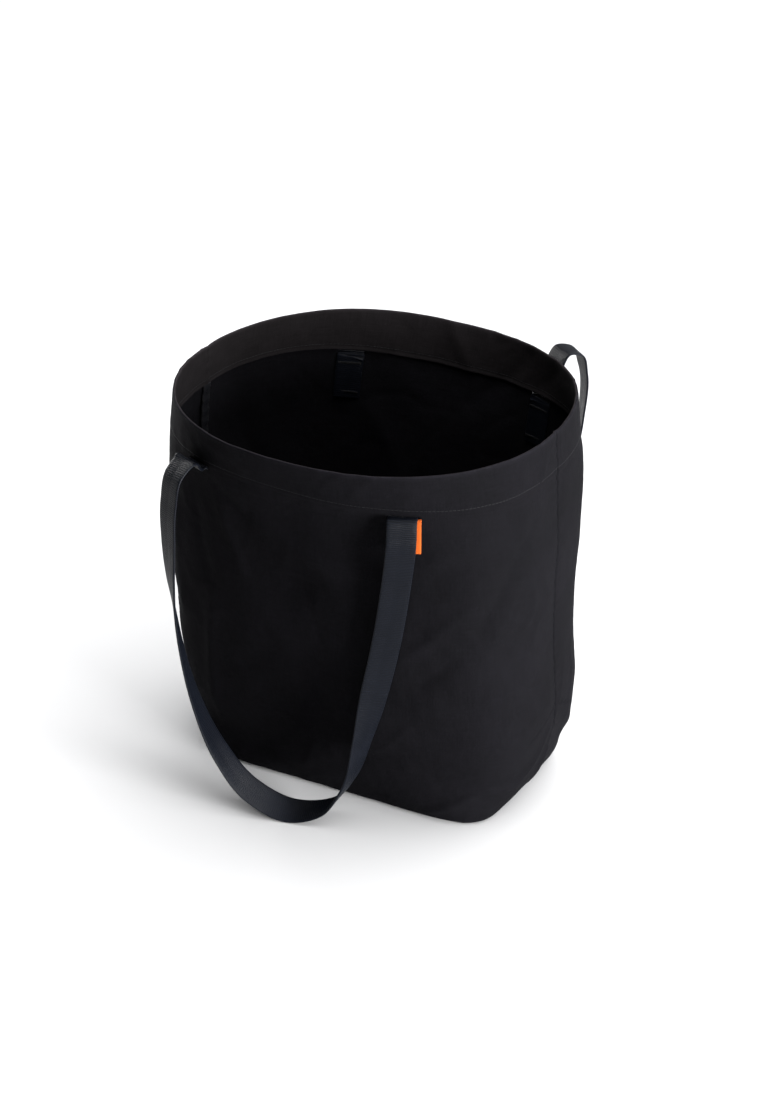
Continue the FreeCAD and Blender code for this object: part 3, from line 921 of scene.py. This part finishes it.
# ---------------------------------------------------------------- handles
# Where the middle of each hanging handle goes between its slots, in millimetres, the heading of
# its width in plan, in degrees, and how far its outer edge leans down.
FRONT_ROUTE = [
    (-100, -147, 340, -24, 0),
    (-103, -160, 333, -25, 0),
    (-106, -167, 306, -26, 0),
    (-106, -170, 270, -30, 0),
    (-105, -171, 236, -40, 0),
    (-102, -171, 203, -54, 0),
    (-97, -171, 168, -60, 0),
    (-86, -168, 116, -68, 4),
    (-68, -161, 65, -80, 12),
    (-42, -151, 25, -88, 22),
    (-10, -139, 7, -94, 24),
    (25, -129, 18, -94, 14),
    (43, -125, 46, -94, 6),
    (57, -123, 96, -110, 0),
    (67, -123, 140, -136, 0),
    (82, -125, 206, -148, 0),
    (94, -130, 269, -150, 0),
    (102, -137, 312, -152, 0),
]
BACK_ROUTE = [
    (101, 144, 352, 152, 0),
    (107, 153, 369, 148, 0),
    (115, 163, 366, 142, 0),
    (119, 170, 346, 134, 0),
    (118, 173, 300, 124, 0),
    (110, 172, 240, 120, 0),
    (101, 170, 172, 116, 0),
    (86, 166, 114, 110, 4),
    (64, 159, 62, 100, 10),
    (38, 150, 25, 92, 18),
    (6, 140, 7, 86, 18),
    (-28, 131, 19, 90, 14),
    (-47, 126, 48, 96, 6),
    (-62, 124, 98, 80, 0),
    (-72, 124, 142, 54, 0),
    (-84, 126, 206, 34, 0),
    (-92, 131, 269, 28, 0),
    (-99, 138, 312, 25, 0),
]


def handle(name, face, first_side, route, node):
    """A webbing loop: out of its first slot, along its route and into its other slot.

    The line through the points is smooth in the length of its straight runs. The width turns
    with the heading, made square to the line at every place.
    """
    other = {"left": "right", "right": "left"}[first_side]
    ends = []
    for side in (first_side, other):
        middle, normal = slot_place(face, side)
        ends.append((middle - normal * 0.5 * MM, middle + normal * 3.5 * MM + [0, 0, 0.3 * MM]))
    points = np.array([p[:3] for p in route]) * MM
    points = np.vstack([ends[0], points, ends[1][::-1]])
    heading = np.radians([p[3] for p in route])
    lean = np.radians([p[4] for p in route])
    heading = np.concatenate([heading[:1], heading[:1], heading, heading[-1:], heading[-1:]])
    lean = np.concatenate([[0, 0], lean, [0, 0]])
    knots = run_along(points)
    dense = np.linspace(0, knots[-1], 3000)
    line = flow(dense, knots, points)
    turn, tip = flow(dense, knots, np.stack([heading, lean], -1)).T
    across = np.stack([np.cos(turn) * np.cos(tip), np.sin(turn) * np.cos(tip), -np.sin(tip)], -1)
    spine, across = resampled(line, across, RIB_PITCH / 4)
    piece = ribbon(name, spine, across, WEBBING, WEBBING_THICK, STRAP_RIB, RIB_PITCH)
    piece.data.materials.append(STRAP)
    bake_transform(piece)
    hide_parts(node)


handle("front_webbing_handle", "front", "left", FRONT_ROUTE,
       "front_handle")
handle("back_webbing_handle", "back", "right", BACK_ROUTE, "back_handle")


# ---------------------------------------------------------------- studio
def lamp(name, kind, place, target, strength, **settings):
    """A light at a place, turned to its target."""
    data = bpy.data.lights.new(name, kind)
    data.energy = strength
    for key, value in settings.items():
        setattr(data, key, value)
    new = bpy.data.objects.new(name, data)
    new.location = place
    new.rotation_mode = "QUATERNION"
    new.rotation_quaternion = (Vector(target) - Vector(place)).to_track_quat("-Z", "Y")
    bpy.context.scene.collection.objects.link(new)


def studio():
    """A pale floor under a broad soft light from above, with a strong low light at the right
    and a weaker one behind on the left."""
    size = 90.0
    corners = np.array([(-1, -1), (1, -1), (1, 1), (-1, 1)]) * size / 2
    points = np.column_stack([corners, np.zeros(4)])
    floor = solid("studio_floor", points, np.array([[0, 1, 2, 3]]), corners)
    paint = Finish("floor_paint", {"Base Color": (0.40, 0.40, 0.404, 1), "Roughness": 0.9,
                                   "Specular IOR Level": 0.1})
    floor.data.materials.append(paint.material)
    world = bpy.data.worlds.new("studio")
    bpy.context.scene.world = world
    world.use_nodes = True
    sky = world.node_tree.nodes["Background"]
    sky.inputs["Color"].default_value = (0.95, 0.97, 1.0, 1)
    sky.inputs["Strength"].default_value = 0.12
    middle = (0, 0, 0.2)
    lamp("top_light", "SUN", (0.4, 0.6, 2.2), middle, 8.2, angle=math.radians(85))
    lamp("right_light", "AREA", (2.25, -0.5, 0.42), middle, 230, shape="DISK", size=1.0)
    lamp("left_light", "AREA", (-1.9, 1.0, 0.42), middle, 40, shape="DISK", size=1.0)


def viewpoint():
    """The camera, from a little right of the front and above, looking at the bag's middle."""
    azimuth, elevation, away = math.radians(29.43), math.radians(29.41), 2.1548
    level = math.cos(elevation)
    back = Vector((math.sin(azimuth) * level, -math.cos(azimuth) * level, math.sin(elevation)))
    side = Vector((math.cos(azimuth), math.sin(azimuth), 0))
    target = side * 5.0 * MM + Vector((0, 0, 0.564 * HEIGHT))
    data = bpy.data.cameras.new("camera")
    data.lens = 78.6
    data.sensor_width = 36
    camera = bpy.data.objects.new("camera", data)
    camera.location = target + back * away
    camera.rotation_mode = "QUATERNION"
    camera.rotation_quaternion = (-back).to_track_quat("-Z", "Y")
    bpy.context.scene.collection.objects.link(camera)
    bpy.context.scene.camera = camera


studio()
viewpoint()
bpy.context.scene.view_settings.view_transform = "Standard"
